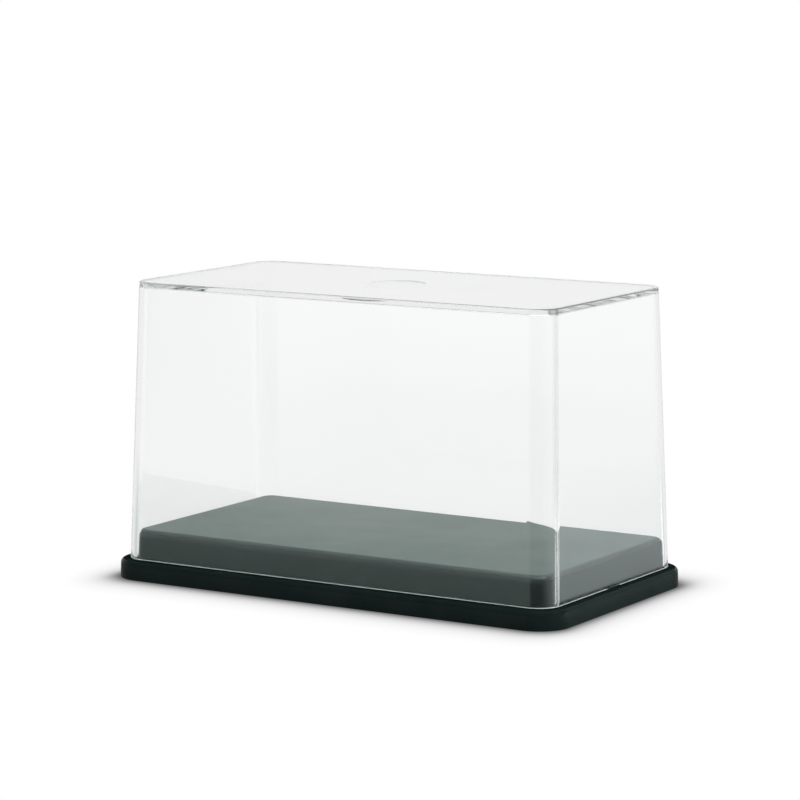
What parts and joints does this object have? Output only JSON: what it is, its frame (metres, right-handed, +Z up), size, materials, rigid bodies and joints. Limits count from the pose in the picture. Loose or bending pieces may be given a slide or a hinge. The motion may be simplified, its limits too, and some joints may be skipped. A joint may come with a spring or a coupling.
{
  "type": "display case",
  "caption": "Clear drafted dust cover standing on the ledge of a black base with a raised deck; small tongues on its short sides drop into slots, and it lifts straight off.",
  "frame": {"origin": "middle of the base on its resting plane", "axes": "+X along the length, front long side faces -Y, +Z up"},
  "size_m": [0.11, 0.06, 0.0641],
  "materials": {
    "black_plastic": "moulded black polystyrene, satin deck, glossier flange",
    "clear_plastic": "moulded crystal-clear polystyrene, polished"
  },
  "bodies": {
    "base": {"base_shell": "black_plastic"},
    "cover": {"clear_cover": "clear_plastic"}
  },
  "joints": [
    {"name": "cover_lift", "type": "slide", "parent": "base", "child": "cover", "axis": [0, 0, 1], "range_m": [0, 0.062]}
  ]
}
